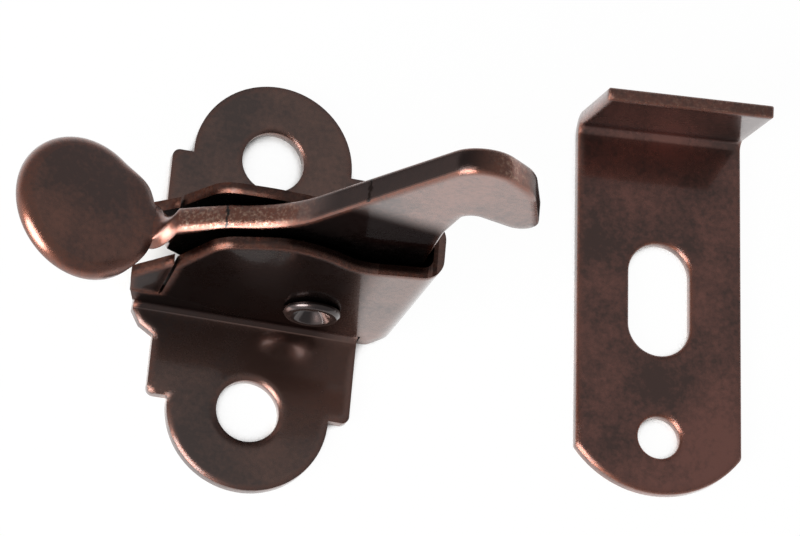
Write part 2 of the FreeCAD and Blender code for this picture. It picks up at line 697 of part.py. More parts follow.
for item in doc.Objects:
    assert not {"Invalid", "Error"} & set(item.State), f"{item.Name} failed: {item.State}"
for part in parts:
    shape = part.Shape
    assert not shape.isNull() and shape.isValid(), f"{part.Label} has no valid shape"
    assert len(shape.Solids) == 1, f"{part.Label} is {len(shape.Solids)} solids"

os.makedirs("parts", exist_ok=True)
for part in parts:
    part.Shape.exportStep(f"parts/{part.Label}.step")
    box = part.Shape.BoundBox
    extent = " x ".join(f"{length:.2f}" for length in (box.XLength, box.YLength, box.ZLength))
    print(f"{part.Label}: {part.Shape.Volume:.1f} mm3, {extent} mm")
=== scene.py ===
"""Looks of an elbow catch for a cupboard door and of the strike that its hook holds."""

from __future__ import annotations

import logging
import math
from collections.abc import Iterator
from contextlib import contextmanager
from dataclasses import dataclass
from enum import Enum
from typing import Any

import bmesh
import bpy
from bmesh.types import BMesh
from bpy.types import ID, Material, Mesh, MeshPolygon, Node, NodeOutputs, Object
from bpy.types import NodeSocket as Socket
from bpy.types import NodeTree as Tree
from mathutils import Matrix, Vector
from mathutils.bvhtree import BVHTree

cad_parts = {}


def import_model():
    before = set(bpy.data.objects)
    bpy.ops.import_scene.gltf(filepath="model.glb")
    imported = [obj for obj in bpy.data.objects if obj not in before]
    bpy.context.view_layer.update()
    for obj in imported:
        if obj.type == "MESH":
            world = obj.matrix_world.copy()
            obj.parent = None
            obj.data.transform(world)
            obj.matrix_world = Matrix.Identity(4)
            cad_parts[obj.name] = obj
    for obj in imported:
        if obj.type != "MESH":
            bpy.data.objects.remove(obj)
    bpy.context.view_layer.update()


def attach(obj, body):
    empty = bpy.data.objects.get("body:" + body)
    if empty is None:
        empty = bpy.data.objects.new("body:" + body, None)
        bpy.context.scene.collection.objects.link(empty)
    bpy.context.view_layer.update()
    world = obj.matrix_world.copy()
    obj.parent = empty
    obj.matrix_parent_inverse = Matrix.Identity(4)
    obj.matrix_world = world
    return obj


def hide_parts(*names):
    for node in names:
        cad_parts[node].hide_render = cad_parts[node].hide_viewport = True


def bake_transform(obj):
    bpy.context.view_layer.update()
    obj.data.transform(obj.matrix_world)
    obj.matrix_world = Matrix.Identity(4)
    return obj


MM = 0.001
MICRON = 1e-6
WELD = 1e-7
SHEARED_EDGE = "sheared_edge"
WORN_RIM = "worn_rim"
# Face mark for painted shade: how much a face takes the darker film and dimmer reflection that stand in for
# shade.
PAINTED_SHADE_MARK = "painted_shade_mark"

Pair = tuple[float, float]
Triple = tuple[float, float, float]

log = logging.getLogger("elbow_catch")


class Body(Enum):
    """The rigid bodies of the catch."""

    BASE = "base"
    LEVER = "lever"


class Slot(Enum):
    """The finishes that the record names."""

    COPPER = "antique_copper"
    WIRE = "spring_wire"


# Shared steps


def linear(hex_colour: str) -> tuple[float, float, float, float]:
    """Turns an sRGB hex colour into linear light.

    Args:
        hex_colour: Six hex digits after a hash sign.

    Returns:
        Red, green, blue and an alpha of 1.
    """
    channels = [int(hex_colour[i:i + 2], 16) / 255 for i in (1, 3, 5)]
    red, green, blue = (c / 12.92 if c <= 0.04045 else ((c + 0.055) / 1.055) ** 2.4 for c in channels)
    return red, green, blue, 1.0


def add_node(tree: Tree, kind: str, inputs: dict[Any, Any] | None = None, **settings: Any) -> Node:
    """Adds a node with its settings, values and links.

    Args:
        tree: The tree that takes the node.
        kind: The node type's own name.
        inputs: Input name or number to a value, or to the output socket that feeds it.
        settings: Properties of the node itself.

    Returns:
        The new node.
    """
    node = tree.nodes.new(kind)
    for name, value in settings.items():
        setattr(node, name, value)
    for key, value in (inputs or {}).items():
        if isinstance(value, Socket):
            tree.links.new(value, node.inputs[key])
        else:
            node.inputs[key].default_value = value
    return node


def new_material(name: str) -> tuple[Material, Tree]:
    """Makes a material and gives it with its empty tree."""
    material = bpy.data.materials.new(name)
    material.use_nodes = True
    material.node_tree.nodes.clear()
    return material, material.node_tree


def new_object(name: str, data: ID) -> Object:
    """Puts a mesh, curve, lamp or camera into the scene at the origin."""
    piece = bpy.data.objects.new(name, data)
    bpy.context.scene.collection.objects.link(piece)
    return piece


def evaluated_mesh(piece: Object) -> Mesh:
    """Gives the mesh that an object's curve or modifiers make."""
    graph = bpy.context.evaluated_depsgraph_get()
    return bpy.data.meshes.new_from_object(piece.evaluated_get(graph), depsgraph=graph)


def bake_modifiers(piece: Object) -> None:
    """Replaces an object's mesh by what its modifiers make of it, and removes them."""
    mesh = evaluated_mesh(piece)
    mesh.name = piece.name
    piece.modifiers.clear()
    piece.data = mesh


@contextmanager
def edited(mesh: Mesh) -> Iterator[BMesh]:
    """Opens a mesh for editing and writes the result back into it."""
    shape = bmesh.new()
    shape.from_mesh(mesh)
    yield shape
    shape.to_mesh(mesh)
    shape.free()


def rounded_rectangle(width: float, height: float, radius: float) -> list[Pair]:
    """Gives the points of a rectangle with rounded corners about the origin, counter-clockwise."""
    bends = 4
    points = []
    for quarter, (side, level) in enumerate(((1, 1), (-1, 1), (-1, -1), (1, -1))):
        for i in range(bends + 1):
            angle = math.pi / 2 * (quarter + i / bends)
            points.append((side * (width / 2 - radius) + radius * math.cos(angle),
                           level * (height / 2 - radius) + radius * math.sin(angle)))
    return points


def bridge_rings(shape: BMesh, rings: list[list[Any]]) -> None:
    """Joins rings of points with faces, closes both ends and turns the faces outwards."""
    faces = [shape.faces.new(rings[0]), shape.faces.new(rings[-1])]
    for low, high in zip(rings, rings[1:]):
        for i in range(len(low)):
            faces.append(shape.faces.new((low[i - 1], low[i], high[i], high[i - 1])))
    bmesh.ops.recalc_face_normals(shape, faces=faces)


def drop_slivers(mesh: Mesh) -> None:
    """Removes the faces without an area that welding leaves behind."""
    reach = 3 * MICRON
    with edited(mesh) as shape:
        bmesh.ops.dissolve_degenerate(shape, dist=reach, edges=shape.edges)
        bmesh.ops.triangulate(shape, faces=[f for f in shape.faces if len(f.verts) > 4])
        bmesh.ops.dissolve_degenerate(shape, dist=reach, edges=shape.edges)


def weigh_normals(piece: Object) -> None:
    """Lets large faces rule the shading, so that flats stay flat up to their rounded rims."""
    weigh = piece.modifiers.new("flat flats", "WEIGHTED_NORMAL")
    weigh.mode = "FACE_AREA"
    weigh.weight = 100
    weigh.thresh = 0.01
    weigh.keep_sharp = True


def flat_loops(mesh: Mesh, axis: int, level_mm: float) -> list[list[Vector]]:
    """Follows the borders of the faces that lie on one level.

    Args:
        mesh: The mesh to look at.
        axis: 0, 1 or 2 for X, Y or Z.
        level_mm: The level on that axis.

    Returns:
        Each border as a closed run of points.
    """
    shape = bmesh.new()
    shape.from_mesh(mesh)
    bmesh.ops.remove_doubles(shape, verts=shape.verts, dist=WELD)
    level = {f for f in shape.faces if all(abs(v.co[axis] - level_mm * MM) < MICRON for v in f.verts)}
    follow: dict[Any, Any] = {}
    for face in level:
        for loop in face.loops:
            if any(f not in level for f in loop.edge.link_faces):
                follow[loop.vert] = loop.link_loop_next.vert
    borders = []
    while follow:
        first, point = follow.popitem()
        border = [first.co.copy()]
        while point is not first:
            border.append(point.co.copy())
            point = follow.pop(point)
        borders.append(border)
    shape.free()
    return borders


# Finishes


@dataclass(frozen=True)
class PaintedShadeFilm:
    """Painted shade: a darker film colour and a dimmer reflection where shade falls between the walls; its
    colours, and the spans over which it fades out.
    """

    # The colour and the reflection tint paint the shade; lacquer is the coat weight left where the shade is
    # whole.
    colour: str = "#352E2D"
    shade_reflection_tint: str = "#A0A0A0"
    lacquer: float = 0.06
    end_mm: Pair = (5.0, 9.0)
    top_mm: Pair = (60.0, 70.0)
    slant: float = 0.25

    def share(self, tree: Tree, along: NodeOutputs) -> Socket:
        """Finds where shade is painted between the walls, fading along X and towards the top.

        Args:
            tree: The material's tree.
            along: Object coordinates, one by one.

        Returns:
            A share from 0 to 1: on faces marked 1 it fades out, on faces marked 2 it is whole.
        """
        rise = add_node(tree, "ShaderNodeMath", {
            0: along["X"], 1: self.slant, 2: along["Z"]}, operation="MULTIPLY_ADD").outputs[0]
        fades = []
        for run, (low, high) in ((along["X"], self.end_mm), (rise, self.top_mm)):
            fade = {"Value": run, "From Min": high * MM, "From Max": low * MM}
            fades.append(add_node(tree, "ShaderNodeMapRange", fade, interpolation_type="SMOOTHSTEP"))
        span = add_node(tree, "ShaderNodeMath", {
            0: fades[0].outputs["Result"], 1: fades[1].outputs["Result"]}, operation="MULTIPLY").outputs[0]
        mark = add_node(tree, "ShaderNodeAttribute", attribute_name=PAINTED_SHADE_MARK).outputs["Fac"]
        whole = add_node(tree, "ShaderNodeMath", {0: mark, 1: 1.0}, operation="SUBTRACT", use_clamp=True)
        fading = add_node(tree, "ShaderNodeMath", {0: mark, 1: 1.0}, operation="MINIMUM")
        return add_node(tree, "ShaderNodeMath", {
            0: fading.outputs[0], 1: span, 2: whole.outputs[0]},
            operation="MULTIPLY_ADD", use_clamp=True).outputs[0]


@dataclass(frozen=True)
class AntiqueCopper:
    """Copper plate on pressed steel, darkened to brown, tumbled and lacquered.

    The dark film keeps a soft metal gloss: level faces stay brown, and the lacquer makes upright ones
    mirror the pale ground. Tumbling rubs the film off rims and sheared edges down to red and pink copper.
    """

    name: str = "antique_copper_plate"
    film_dark: str = "#5A443E"
    film_warm: str = "#8A5E50"
    rubbed: str = "#85503E"
    bare: str = "#D2AE96"
    patch_mm: float = 16.0
    cloud_mm: float = 3.2
    grain_mm: float = 0.5
    speckle_mm: float = 0.3
    pattern_roughness: float = 0.58
    grain_share: float = 0.5
    patch_share: float = 0.55
    mottle_range: Pair = (0.43, 0.58)
    speckle_range: Pair = (0.48, 0.74)
    dent_mm: float = 0.008
    dent_strength: float = 0.35
    smooth_roughness: float = 0.22
    dull_roughness: float = 0.34
    lacquer_roughness: float = 0.08
    rim_reach_mm: float = 1.1
    rim_samples: int = 6
    rim_air_reach: float = 1.5
    rim_air_range: Pair = (0.75, 0.95)
    rim_turn_range: Pair = (0.999, 0.93)
    rim_wear: float = 0.55
    wear_range: Pair = (0.32, 0.6)
    least_wear: float = 0.35
    # Painted shade between the walls, or none.
    painted_shade: PaintedShadeFilm | None = None
    bare_spans_mm: tuple[Pair, ...] = ()
    span_fade_mm: float = 2.4
    least_bare: float = 0.05
    nick_places_mm: tuple[float, ...] = ()
    # The colour of the dark nick lines.
    nick_dark: str = "#1E1512"
    nick_width_mm: float = 0.16
    nick_core: float = 0.3
    nick_wander_mm: float = 0.5
    nick_edge: float = 0.05

    def build(self) -> Material:
        """Builds the material.

        Returns:
            The finished copper material.
        """
        material, tree = new_material(self.name)
        place = add_node(tree, "ShaderNodeTexCoord").outputs["Object"]
        along = add_node(tree, "ShaderNodeSeparateXYZ", {"Vector": place}).outputs
        sizes = ((self.cloud_mm, 5.0), (self.grain_mm, 3.0), (self.speckle_mm, 2.0), (self.patch_mm, 2.0))
        patterns = []
        for size_mm, detail in sizes:
            patterns.append(add_node(tree, "ShaderNodeTexNoise", {
                "Vector": place, "Scale": 1 / (size_mm * MM), "Detail": detail,
                "Roughness": self.pattern_roughness}).outputs["Fac"])
        cloud, grain, speckle, patch = patterns

        mottle = cloud
        for share, pattern in ((self.grain_share, grain), (self.patch_share, patch)):
            mottle = add_node(tree, "ShaderNodeMix", {
                0: share, 2: mottle, 3: pattern}, data_type="FLOAT").outputs[0]
        mottle = add_node(tree, "ShaderNodeMapRange", {
            "Value": mottle, "From Min": self.mottle_range[0],
            "From Max": self.mottle_range[1]}).outputs["Result"]

        layers: list[tuple[Socket, Any]] = [(mottle, linear(self.film_warm))]
        sheared = add_node(tree, "ShaderNodeAttribute", attribute_name=SHEARED_EDGE).outputs["Fac"]
        bare_edge = self._bare_edge(tree, sheared, along["X"])
        soft = self._soft_rims(tree)
        wear = self._wear(tree, grain, bare_edge, soft)
        surface: dict[str, Any] = {
            "Metallic": 1.0, "Coat Weight": 1.0, "Coat Roughness": self.lacquer_roughness}
        # Painted shade: where shade falls between the walls the film turns darker, the lacquer thinner and
        # the reflection greyer.
        if self.painted_shade:
            painted_shade = self.painted_shade.share(tree, along)
            # Sheared edges outside the rubbed spans keep their film and also take the painted shade, which
            # darkens their reflection; they wear less.
            if self.bare_spans_mm:
                kept = add_node(tree, "ShaderNodeMath", {0: sheared, 1: bare_edge}, operation="SUBTRACT")
                painted_shade = add_node(tree, "ShaderNodeMath", {
                    0: painted_shade, 1: kept.outputs[0]}, operation="MAXIMUM").outputs[0]
                opened = add_node(tree, "ShaderNodeMath", {0: 1.0, 1: kept.outputs[0]}, operation="SUBTRACT")
                wear = add_node(tree, "ShaderNodeMath", {
                    0: wear, 1: opened.outputs[0]}, operation="MULTIPLY").outputs[0]
            layers.append((painted_shade, linear(self.painted_shade.colour)))
            surface["Coat Weight"] = add_node(tree, "ShaderNodeMapRange", {
                "Value": painted_shade, "To Min": 1.0, "To Max": self.painted_shade.lacquer}).outputs["Result"]
            surface["Specular Tint"] = add_node(tree, "ShaderNodeMix", {
                0: painted_shade, 6: linear("#FFFFFF"), 7: linear(self.painted_shade.shade_reflection_tint)}, data_type="RGBA").outputs[2]

        bare_share = add_node(tree, "ShaderNodeMapRange", {
            "Value": speckle, "From Min": self.speckle_range[0],
            "From Max": self.speckle_range[1]}).outputs["Result"]
        bare_share = add_node(tree, "ShaderNodeMath", {
            0: bare_share, 1: bare_edge}, operation="MULTIPLY").outputs[0]
        copper = add_node(tree, "ShaderNodeMix", {
            0: bare_share, 6: linear(self.rubbed), 7: linear(self.bare)}, data_type="RGBA").outputs[2]
        layers.append((wear, copper))
        height = grain
        for nick_mm in self.nick_places_mm:
            mark = self._nick(tree, along["X"], grain, sheared, nick_mm)
            layers.append((mark, linear(self.nick_dark)))
            height = add_node(tree, "ShaderNodeMath", {0: height, 1: mark}, operation="SUBTRACT").outputs[0]

        colour: Any = linear(self.film_dark)
        for share, top in layers:
            colour = add_node(tree, "ShaderNodeMix", {
                0: share, 6: colour, 7: top}, data_type="RGBA").outputs[2]
        surface["Base Color"] = colour
        surface["Roughness"] = add_node(tree, "ShaderNodeMapRange", {
            "Value": mottle, "To Min": self.dull_roughness,
            "To Max": self.smooth_roughness}).outputs["Result"]
        surface["Normal"] = surface["Coat Normal"] = add_node(tree, "ShaderNodeBump", {
            "Height": height, "Strength": self.dent_strength, "Distance": self.dent_mm * MM,
            "Normal": soft}).outputs["Normal"]
        shader = add_node(tree, "ShaderNodeBsdfPrincipled", surface)
        add_node(tree, "ShaderNodeOutputMaterial", {"Surface": shader.outputs["BSDF"]})
        return material

    def _soft_rims(self, tree: Tree) -> Socket:
        """Widens the rims in the shading, but leaves inner corners as they are.

        Args:
            tree: The material's tree.

        Returns:
            The normal.
        """
        reach = self.rim_reach_mm * MM
        wide = add_node(tree, "ShaderNodeBevel", {"Radius": reach}, samples=self.rim_samples)
        plain = add_node(tree, "ShaderNodeNewGeometry")
        air = add_node(tree, "ShaderNodeAmbientOcclusion", {
            "Distance": self.rim_air_reach * reach}, samples=self.rim_samples)
        open_air = add_node(tree, "ShaderNodeMapRange", {
            "Value": air.outputs["AO"], "From Min": self.rim_air_range[0],
            "From Max": self.rim_air_range[1]})
        return add_node(tree, "ShaderNodeMix", {
            0: open_air.outputs["Result"], 4: plain.outputs["Normal"], 5: wide.outputs["Normal"]},
            data_type="VECTOR").outputs[1]

    def _bare_edge(self, tree: Tree, sheared: Socket, x: Socket) -> Socket:
        """Gives the bare share of the sheared edges, less outside the spans that hands and the strike rub.

        Args:
            tree: The material's tree.
            sheared: The share of bare metal on the sheared edges.
            x: Object coordinates along X.

        Returns:
            A share from 0 to 1.
        """
        if not self.bare_spans_mm:
            return sheared
        spans = []
        for start, end in self.bare_spans_mm:
            middle = (start + end) / 2
            half = (end - start) / 2
            away = add_node(tree, "ShaderNodeMath", {0: x, 1: middle * MM}, operation="SUBTRACT").outputs[0]
            away = add_node(tree, "ShaderNodeMath", {0: away}, operation="ABSOLUTE").outputs[0]
            spans.append(add_node(tree, "ShaderNodeMapRange", {
                "Value": away, "From Min": (half + self.span_fade_mm) * MM,
                "From Max": (half - self.span_fade_mm) * MM, "To Min": self.least_bare},
                interpolation_type="SMOOTHSTEP").outputs["Result"])
        rubbed = spans[0]
        for span in spans[1:]:
            rubbed = add_node(tree, "ShaderNodeMath", {0: rubbed, 1: span}, operation="MAXIMUM").outputs[0]
        return add_node(tree, "ShaderNodeMath", {0: rubbed, 1: sheared}, operation="MULTIPLY").outputs[0]

    def _wear(self, tree: Tree, grain: Socket, bare_edge: Socket, soft: Socket) -> Socket:
        """Finds where tumbling has rubbed the film away.

        Args:
            tree: The material's tree.
            grain: The fine pattern that breaks the worn rims up.
            bare_edge: The share of bare metal on the sheared edges.
            soft: The normal as it would be with wider rims.

        Returns:
            A share from 0, sound film, to 1, copper.
        """
        rim = add_node(tree, "ShaderNodeAttribute", attribute_name=WORN_RIM).outputs["Fac"]
        normal = add_node(tree, "ShaderNodeNewGeometry").outputs["Normal"]
        turned = add_node(tree, "ShaderNodeVectorMath", {0: normal, 1: soft}, operation="DOT_PRODUCT")
        near_rim = add_node(tree, "ShaderNodeMapRange", {
            "Value": turned.outputs["Value"], "From Min": self.rim_turn_range[0],
            "From Max": self.rim_turn_range[1], "To Max": self.rim_wear}).outputs["Result"]
        edge = bare_edge
        for other in (rim, near_rim):
            edge = add_node(tree, "ShaderNodeMath", {0: edge, 1: other}, operation="MAXIMUM").outputs[0]
        uneven = add_node(tree, "ShaderNodeMapRange", {
            "Value": grain, "From Min": self.wear_range[0], "From Max": self.wear_range[1],
            "To Min": self.least_wear}).outputs["Result"]
        return add_node(tree, "ShaderNodeMath", {0: edge, 1: uneven}, operation="MULTIPLY").outputs[0]

    def _nick(self, tree: Tree, x: Socket, grain: Socket, sheared: Socket, nick_mm: float) -> Socket:
        """Marks a thin uneven line across a sheared edge, where the parts of the die met.

        Args:
            tree: The material's tree.
            x: Object coordinates along X.
            grain: The fine pattern that makes the line wander.
            sheared: The share of bare metal on the sheared edges.
            nick_mm: The line's place along X.

        Returns:
            A share from 0 to 1, on the line.
        """
        width = self.nick_width_mm * MM
        away = add_node(tree, "ShaderNodeMath", {
            0: grain, 1: self.nick_wander_mm * MM, 2: x}, operation="MULTIPLY_ADD").outputs[0]
        away = add_node(tree, "ShaderNodeMath", {
            0: away, 1: (nick_mm + self.nick_wander_mm / 2) * MM}, operation="SUBTRACT").outputs[0]
        away = add_node(tree, "ShaderNodeMath", {0: away}, operation="ABSOLUTE").outputs[0]
        line = add_node(tree, "ShaderNodeMapRange", {
            "Value": away, "From Min": width, "From Max": self.nick_core * width}).outputs["Result"]
        on_edge = add_node(tree, "ShaderNodeMath", {
            0: sheared, 1: self.nick_edge}, operation="GREATER_THAN").outputs[0]
        return add_node(tree, "ShaderNodeMath", {0: line, 1: on_edge}, operation="MULTIPLY").outputs[0]


@dataclass(frozen=True)
class DrawnSpringSteel:
    """Spring wire, drawn and oil-tempered: a grey metal with dark stains and a dull gloss."""

    name: str = "drawn_spring_steel"
    steel: str = "#8B8782"
    oiled: str = "#5D5853"
    stain_mm: float = 0.3
    stain_detail: float = 3.0
    roughness: float = 0.32

    def build(self) -> Material:
        """Builds the material.

        Returns:
            The finished steel material.
        """
        material, tree = new_material(self.name)
        place = add_node(tree, "ShaderNodeTexCoord").outputs["Object"]
        stain = add_node(tree, "ShaderNodeTexNoise", {
            "Vector": place, "Scale": 1 / (self.stain_mm * MM), "Detail": self.stain_detail}).outputs["Fac"]
        colour = add_node(tree, "ShaderNodeMix", {
            0: stain, 6: linear(self.oiled), 7: linear(self.steel)}, data_type="RGBA").outputs[2]
        shader = add_node(tree, "ShaderNodeBsdfPrincipled", {
            "Base Color": colour, "Metallic": 1.0, "Roughness": self.roughness})
        add_node(tree, "ShaderNodeOutputMaterial", {"Surface": shader.outputs["BSDF"]})
        return material


@dataclass(frozen=True)
class WhitePaper:
    """Matt white paper under the object. It is plain white to the eye and in the metal's reflections."""

    name: str = "matt_white_paper"
    paper: str = "#F4F4F2"
    glow: float = 0.98
    shade_reach_mm: float = 26.0
    shade_range: Pair = (0.34, 0.5)
    shade_samples: int = 12

    def build(self) -> Material:
        """Builds the material.

        Returns:
            The paper, which glows white where it is seen, so that it keeps only a faint shadow.
        """
        material, tree = new_material(self.name)
        rays = add_node(tree, "ShaderNodeLightPath").outputs
        seen = rays["Is Camera Ray"]
        for kind in ("Is Glossy Ray", "Is Transmission Ray"):
            seen = add_node(tree, "ShaderNodeMath", {0: seen, 1: rays[kind]}, operation="MAXIMUM").outputs[0]
        open_air = add_node(tree, "ShaderNodeAmbientOcclusion", {
            "Distance": self.shade_reach_mm * MM}, samples=self.shade_samples)
        clear = add_node(tree, "ShaderNodeMapRange", {
            "Value": open_air.outputs["AO"], "From Min": self.shade_range[0],
            "From Max": self.shade_range[1], "To Max": self.glow}).outputs["Result"]
        share = add_node(tree, "ShaderNodeMath", {0: seen, 1: clear}, operation="MULTIPLY").outputs[0]
        matt = add_node(tree, "ShaderNodeBsdfDiffuse", {"Color": linear(self.paper)}).outputs["BSDF"]
        white = add_node(tree, "ShaderNodeEmission", {"Strength": 1.0}).outputs["Emission"]
        mixed = add_node(tree, "ShaderNodeMixShader", {0: share, 1: matt, 2: white})
        add_node(tree, "ShaderNodeOutputMaterial", {"Surface": mixed.outputs["Shader"]})
        return material


# Pieces


@dataclass
class PressedPiece:
    """A piece pressed from sheet: the solid's form with rims that tumbling has rounded."""

    node: str
    body: Body
    sheet_mm: float
    rim_mm: float
    sharp_degrees: float = 32.0
    rim_segments: int = 3
    bare_share: float = 0.4
    worn_share: float = 1.0
    weld_mm: float = 0.004
    flat_degrees: float = 0.6
    cut_depth: float = 1.6

    def build(self, finish: Material) -> Object:
        """Makes the piece, dresses it and puts it in the solid's place.

        Args:
            finish: The metal's material.

        Returns:
            The finished object.
        """
        piece = self._form()
        faces = piece.data.polygons
        marks = {
            SHEARED_EDGE: self._sheared(piece.data),
            WORN_RIM: [self._worn(face) for face in faces],
            # Marks for bare sheared edges, worn rims and painted shade.
            PAINTED_SHADE_MARK: [self._painted_shade_share(face) for face in faces],
        }
        for name, values in marks.items():
            piece.data.attributes.new(name, "FLOAT", "FACE").data.foreach_set("value", values)
        piece.data.polygons.foreach_set("material_index", [0] * len(piece.data.polygons))
        piece.data.materials.clear()
        piece.data.materials.append(finish)
        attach(piece, self.body.value)
        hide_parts(self.node)
        return piece

    def _worn(self, face: MeshPolygon) -> float:
        """Tells how much the film is rubbed away: on rims, which have the second material so far."""
        return self.worn_share * face.material_index

    def _painted_shade_share(self, face: MeshPolygon) -> float:
        """Tells how much painted shade a face takes: 0 for none."""
        return 0.0

    def _sheared(self, mesh: Mesh) -> list[float]:
        """Finds the faces cut through the sheet, which have more metal behind them.

        Args:
            mesh: The piece's mesh.

        Returns:
            The share of bare metal, face by face.
        """
        tree = BVHTree.FromPolygons([v.co for v in mesh.vertices], [p.vertices for p in mesh.polygons])
        shares = []
        for face in mesh.polygons:
            hit = tree.ray_cast(face.center - face.normal * MICRON, -face.normal)
            depth = hit[3] if hit[3] is not None else 0.0
            shares.append(self.bare_share if depth > self.cut_depth * self.sheet_mm * MM else 0.0)
        return shares

    def _form(self) -> Object:
        """Copies the solid, merges its flats and rounds its sharp rims.

        Returns:
            The piece, with the second material on its rims.
        """
        mesh = bpy.data.objects[self.node].data.copy()
        with edited(mesh) as shape:
            bmesh.ops.remove_doubles(shape, verts=shape.verts, dist=self.weld_mm * MM)
            bmesh.ops.dissolve_limit(shape, angle_limit=math.radians(self.flat_degrees),
                                     verts=shape.verts, edges=shape.edges)
        mesh.shade_smooth()
        mesh.polygons.foreach_set("material_index", [0] * len(mesh.polygons))
        mesh.materials.clear()
        for kind in ("flat", "rim"):
            mesh.materials.append(bpy.data.materials.get(kind) or bpy.data.materials.new(kind))
        piece = new_object(f"{self.node}_metal", mesh)
        bevel = piece.modifiers.new("rounded rims", "BEVEL")
        bevel.material = 1
        bevel.width = self.rim_mm * MM
        bevel.segments = self.rim_segments
        bevel.limit_method = "ANGLE"
        bevel.angle_limit = math.radians(self.sharp_degrees)
        weigh_normals(piece)
        bake_modifiers(piece)
        return piece


@dataclass
class Bracket(PressedPiece):
    """The folded base: a channel for the lever, open to the left, on two feet with round screw ears."""

    node: str = "bracket"
    body: Body = Body.BASE
    sheet_mm: float = 1.0
    rim_mm: float = 0.42
    bare_share: float = 0.25
    fold_mm: float = 0.6
    foot_top_mm: float = 1.02
    inward_lean: float = 0.5
    # Painted shade marks: 2 gives whole shade inside the channel, the other fades along the outside of the
    # walls.
    inside_painted_shade: float = 2.0
    outside_painted_shade: float = 0.85

    def _worn(self, face: MeshPolygon) -> float:
        """Keeps the film in the fold between a foot and its wall."""
        in_fold = self.sheet_mm * MM < face.center.z < (self.sheet_mm + self.fold_mm) * MM
        return 0.0 if in_fold else super()._worn(face)

    def _painted_shade_share(self, face: MeshPolygon) -> float:
        """Paints shade whole inside the channel and lets it fade along the outside of the walls."""
        if face.center.z < self.foot_top_mm * MM:
            return 0.0
        inward = face.normal.y * face.center.y < 0 or face.normal.x < -self.inward_lean
        return self.inside_painted_shade if inward else self.outside_painted_shade


